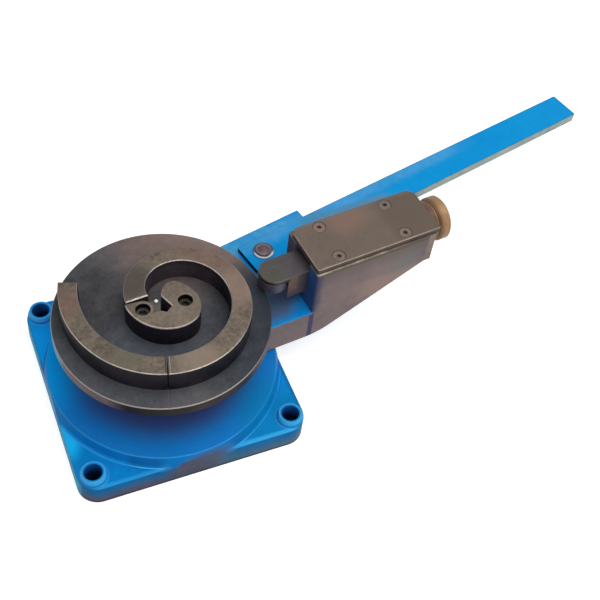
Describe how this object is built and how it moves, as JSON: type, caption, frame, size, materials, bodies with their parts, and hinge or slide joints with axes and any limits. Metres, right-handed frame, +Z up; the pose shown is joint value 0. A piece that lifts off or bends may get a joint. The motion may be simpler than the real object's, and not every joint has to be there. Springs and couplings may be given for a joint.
{
  "type": "scroll bender",
  "caption": "Bench scroll bender: spiral former on a round disc over a square bolt-down base, and a swinging arm with a screw-fed roller ram and a flat lever.",
  "frame": {"origin": "middle of the base's underside, on the spindle's axis", "axes": "+Z up along the spindle; +X along the base's front edge, towards the arm at rest; +Y to the base's left corner"},
  "size_m": [0.6527, 0.2901, 0.1381],
  "materials": {
    "base_paint": "satin paint over cast iron",
    "arm_paint": "satin paint over cast steel",
    "lever_paint": "satin paint over flat steel",
    "former_steel": "oil-blackened, edges worn bright",
    "disc_steel": "oil-blackened plate, rim worn bright",
    "ram_steel": "oil-blackened",
    "cover_steel": "oil-blackened plate",
    "bright_steel": "ground",
    "screw_steel": "oil-blackened",
    "bronze": "turned bronze"
  },
  "bodies": {
    "base": {"base_plate": "base_paint", "spindle": "bright_steel", "spindle_washer": "screw_steel", "spindle_nut": "screw_steel", "spindle_dowel": "bright_steel", "lower_thrust_washer": "bronze", "upper_thrust_washer": "bronze", "former_disc": "disc_steel", "scroll_core": "former_steel", "core_screws": "screw_steel", "gauge_pin": "bright_steel"},
    "inner_ridge": {"inner_segment": "former_steel", "inner_segment_dowels": "bright_steel"},
    "outer_ridge": {"outer_segment": "former_steel", "outer_segment_dowels": "bright_steel"},
    "arm": {"arm_casting": "arm_paint", "arm_bush": "bronze", "cover_plate": "cover_steel", "cover_screws": "screw_steel", "end_plate": "cover_steel", "end_plate_screws": "screw_steel", "pivot_pin": "screw_steel", "pivot_washer": "bright_steel", "pivot_circlip": "screw_steel"},
    "ram": {"ram_body": "ram_steel", "roller_pin": "ram_steel"},
    "roller": {"ram_roller": "screw_steel"},
    "adjuster": {"adjuster_screw": "bright_steel", "thrust_collar": "cover_steel", "collar_pin": "cover_steel", "adjuster_knob": "bronze", "knob_pin": "bronze"},
    "handle": {"handle_bar": "lever_paint", "handle_tongue": "lever_paint"}
  },
  "joints": [
    {"name": "arm_swing", "type": "hinge", "parent": "base", "child": "arm", "pos_m": [0, 0, 0.05], "axis": [0, 0, 1], "continuous": true},
    {"name": "ram_slide", "type": "slide", "parent": "arm", "child": "ram", "axis": [-0.9945, -0.1045, 0], "range_m": [-0.01, 0.013]},
    {"name": "roller_spin", "type": "hinge", "parent": "ram", "child": "roller", "pos_m": [0.10965, 0.00428, 0.111], "axis": [0, 0, 1], "continuous": true},
    {"name": "knob_spin", "type": "hinge", "parent": "arm", "child": "adjuster", "pos_m": [0.28916, 0.02315, 0.116], "axis": [0.9945, 0.1045, 0], "range_deg": [-1200, 1560]},
    {"name": "handle_pivot", "type": "hinge", "parent": "arm", "child": "handle", "pos_m": [0.12383, 0.06078, 0.079], "axis": [0, 0, 1], "range_deg": [-9, 60]},
    {"name": "inner_segment_lift", "type": "slide", "parent": "base", "child": "inner_ridge", "axis": [0, 0, 1], "range_m": [0, 0.03]},
    {"name": "outer_segment_lift", "type": "slide", "parent": "base", "child": "outer_ridge", "axis": [0, 0, 1], "range_m": [0, 0.03]}
  ],
  "couplings": [
    {"joint": "ram_slide", "follows": "knob_spin", "m_per_rad": 0.00047746}
  ]
}
